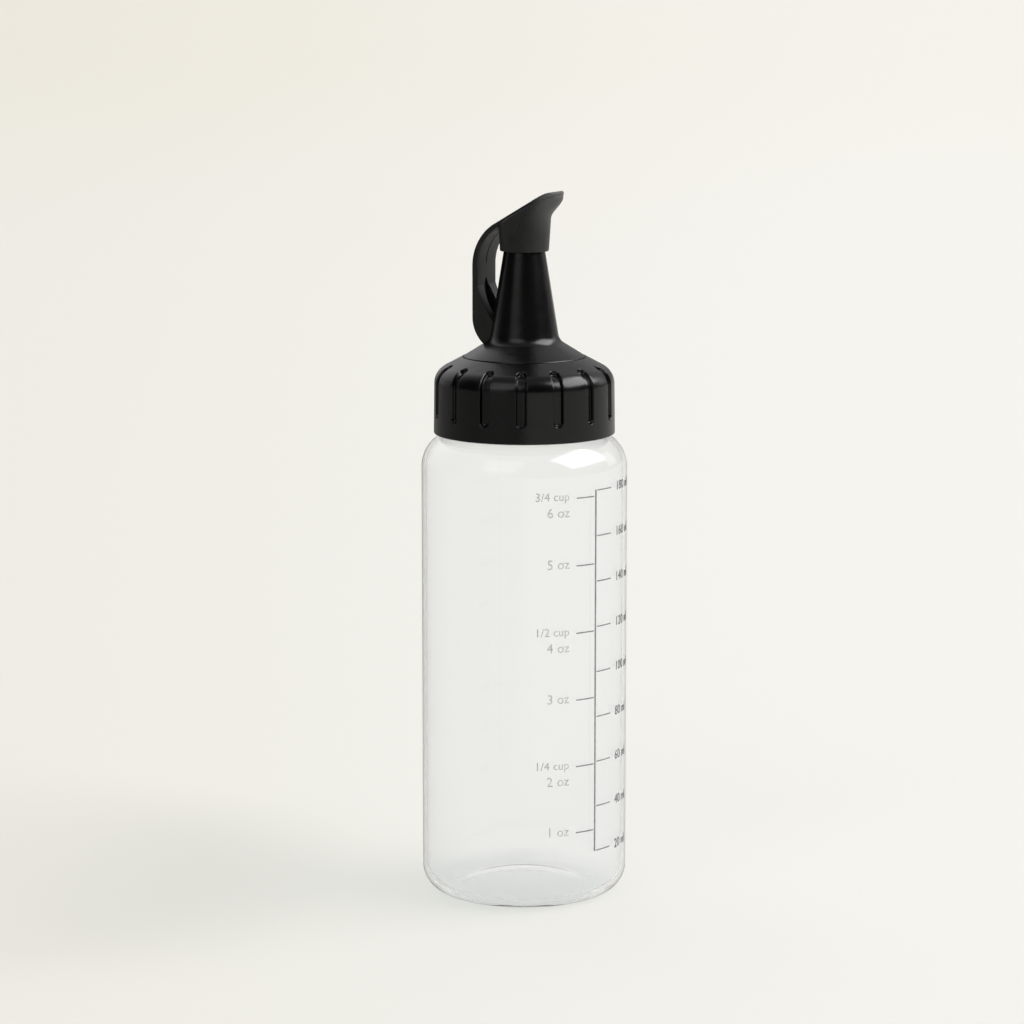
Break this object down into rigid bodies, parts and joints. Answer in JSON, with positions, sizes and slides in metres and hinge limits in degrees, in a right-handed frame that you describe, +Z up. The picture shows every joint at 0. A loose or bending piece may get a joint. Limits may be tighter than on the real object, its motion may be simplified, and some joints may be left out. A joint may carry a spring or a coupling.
{
  "type": "squeeze sauce bottle",
  "caption": "Clear squeeze bottle with a printed volume scale, a grooved screw collar, a hollow cone nozzle and a tip cap that flips back on its strap.",
  "frame": {"origin": "on the table under the middle of the bottle", "axes": "+Z up along the bottle's axis, +X towards the tip cap's thumb tongue, strap at -X"},
  "size_m": [0.05, 0.05, 0.1725],
  "materials": {
    "clear_plastic": "clear blow-moulded plastic, glossy",
    "scale_ink": "screen-printed grey ink",
    "seal_silicone": "plain silicone",
    "black_polypropylene": "moulded, satin gloss",
    "soft_black_rubber": "soft moulded rubber, matte"
  },
  "bodies": {
    "bottle_body": {"bottle_shell": "clear_plastic", "scale_marks": "scale_ink"},
    "nozzle_body": {"nozzle": "black_polypropylene", "neck_seal": "seal_silicone", "strap_foot": "soft_black_rubber", "strap": "soft_black_rubber"},
    "collar_body": {"screw_collar": "black_polypropylene"},
    "cap_body": {"tip_cap": "soft_black_rubber"}
  },
  "joints": [
    {"name": "nozzle_rise", "type": "slide", "parent": "bottle_body", "child": "nozzle_body", "axis": [0, 0, 1], "range_m": [0, 0.01681]},
    {"name": "collar_turn", "type": "hinge", "parent": "nozzle_body", "child": "collar_body", "pos_m": [0, 0, 0.12], "axis": [0, 0, 1], "range_deg": [0, 1440]},
    {"name": "cap_flip", "type": "hinge", "parent": "nozzle_body", "child": "cap_body", "pos_m": [-0.00997, 0, 0.15912], "axis": [0, -1, 0], "range_deg": [0, 135], "deforming": ["strap"]}
  ],
  "couplings": [
    {"joint": "nozzle_rise", "follows": "collar_turn", "m_per_rad": 0.00066845}
  ]
}
